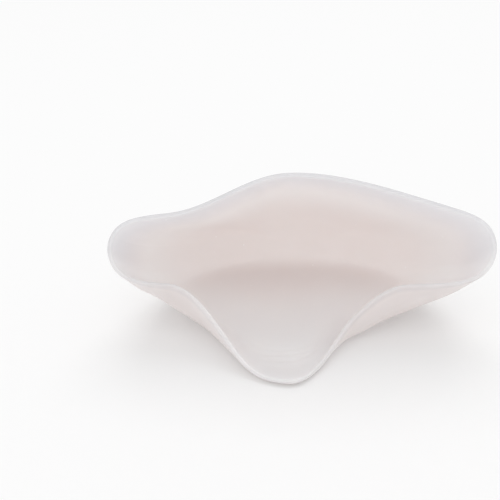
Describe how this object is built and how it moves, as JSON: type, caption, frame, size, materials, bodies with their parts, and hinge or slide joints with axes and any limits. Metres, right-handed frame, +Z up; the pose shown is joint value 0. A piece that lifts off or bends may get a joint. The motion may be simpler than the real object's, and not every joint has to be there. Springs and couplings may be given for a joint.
{
  "type": "gel toe pad",
  "caption": "Soft one-piece gel pouch worn over the toes: closed rounded toe, flat sole with a long tongue, humped upper wall and a wavy open mouth with a thin rounded lip.",
  "frame": {"origin": "middle of the pad's box, on the surface that its flat sole rests on", "axes": "+X across the pad, along its widest side; +Y from the open mouth to the closed toe; +Z up from the sole"},
  "size_m": [0.1048, 0.0724, 0.0518],
  "materials": {
    "gel": "milky, slightly see-through, satin"
  },
  "bodies": {
    "root": {"toe_pouch": "gel"}
  },
  "joints": []
}
